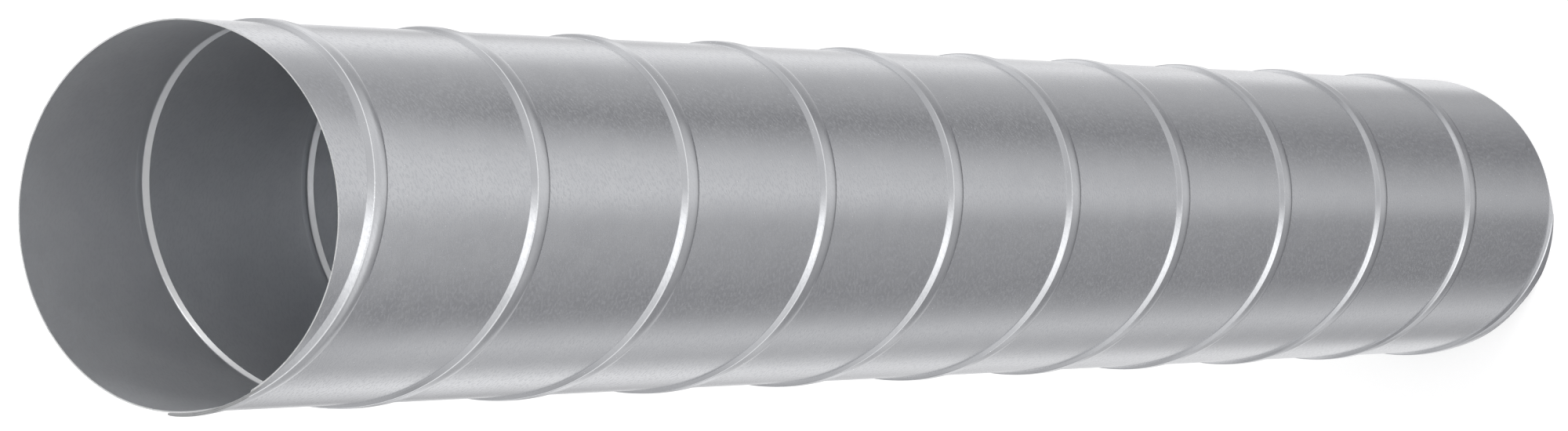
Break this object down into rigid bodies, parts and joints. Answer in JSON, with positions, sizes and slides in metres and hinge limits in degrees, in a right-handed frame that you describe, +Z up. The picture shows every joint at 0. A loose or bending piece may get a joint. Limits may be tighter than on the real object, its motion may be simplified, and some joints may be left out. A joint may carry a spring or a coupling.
{
  "type": "spiral duct",
  "caption": "Straight round ventilation duct of spiral-wound galvanised sheet steel with an outside lock seam and two plain open ends.",
  "frame": {"origin": "middle of the lower cut end, on the floor that the duct stands on", "axes": "+Z up along the duct's axis"},
  "size_m": [0.1648, 0.1648, 1.25],
  "materials": {
    "galvanised_steel": "zinc-coated sheet, semi-bright with fine spangle"
  },
  "bodies": {
    "root": {"spiral_duct": "galvanised_steel"}
  },
  "joints": []
}
